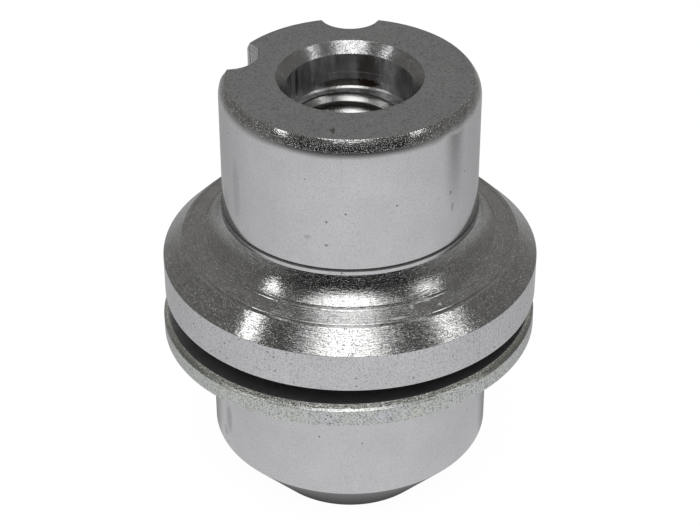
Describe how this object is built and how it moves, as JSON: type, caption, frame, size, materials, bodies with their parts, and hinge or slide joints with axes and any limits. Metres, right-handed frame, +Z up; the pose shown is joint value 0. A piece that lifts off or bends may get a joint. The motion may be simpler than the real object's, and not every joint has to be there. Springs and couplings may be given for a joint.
{
  "type": "lug nut",
  "caption": "Tall round wheel nut with a tapered end, a broad flange over a loose captive washer, and a plain head notched for a key; threaded right through.",
  "frame": {"origin": "middle of the flat end face of the taper, on which the nut stands", "axes": "+Z up the thread's axis from the tapered end to the head; +Y through the middle of the first key notch; +X to the right of it, seen from the head"},
  "size_m": [0.0396, 0.0396, 0.0481],
  "materials": {
    "bright_steel": "bright plated over turned steel, satin on the head's top face, with faint turning lines, small pits and handling marks",
    "zinc_steel": "zinc plated and passivated, faintly greenish and speckled"
  },
  "bodies": {
    "nut": {"nut_body": "bright_steel"},
    "washer": {"captive_washer": "zinc_steel"}
  },
  "joints": [
    {"name": "washer_spin", "type": "hinge", "parent": "nut", "child": "washer", "pos_m": [0, 0, 0.02045], "axis": [0, 0, 1], "continuous": true}
  ]
}
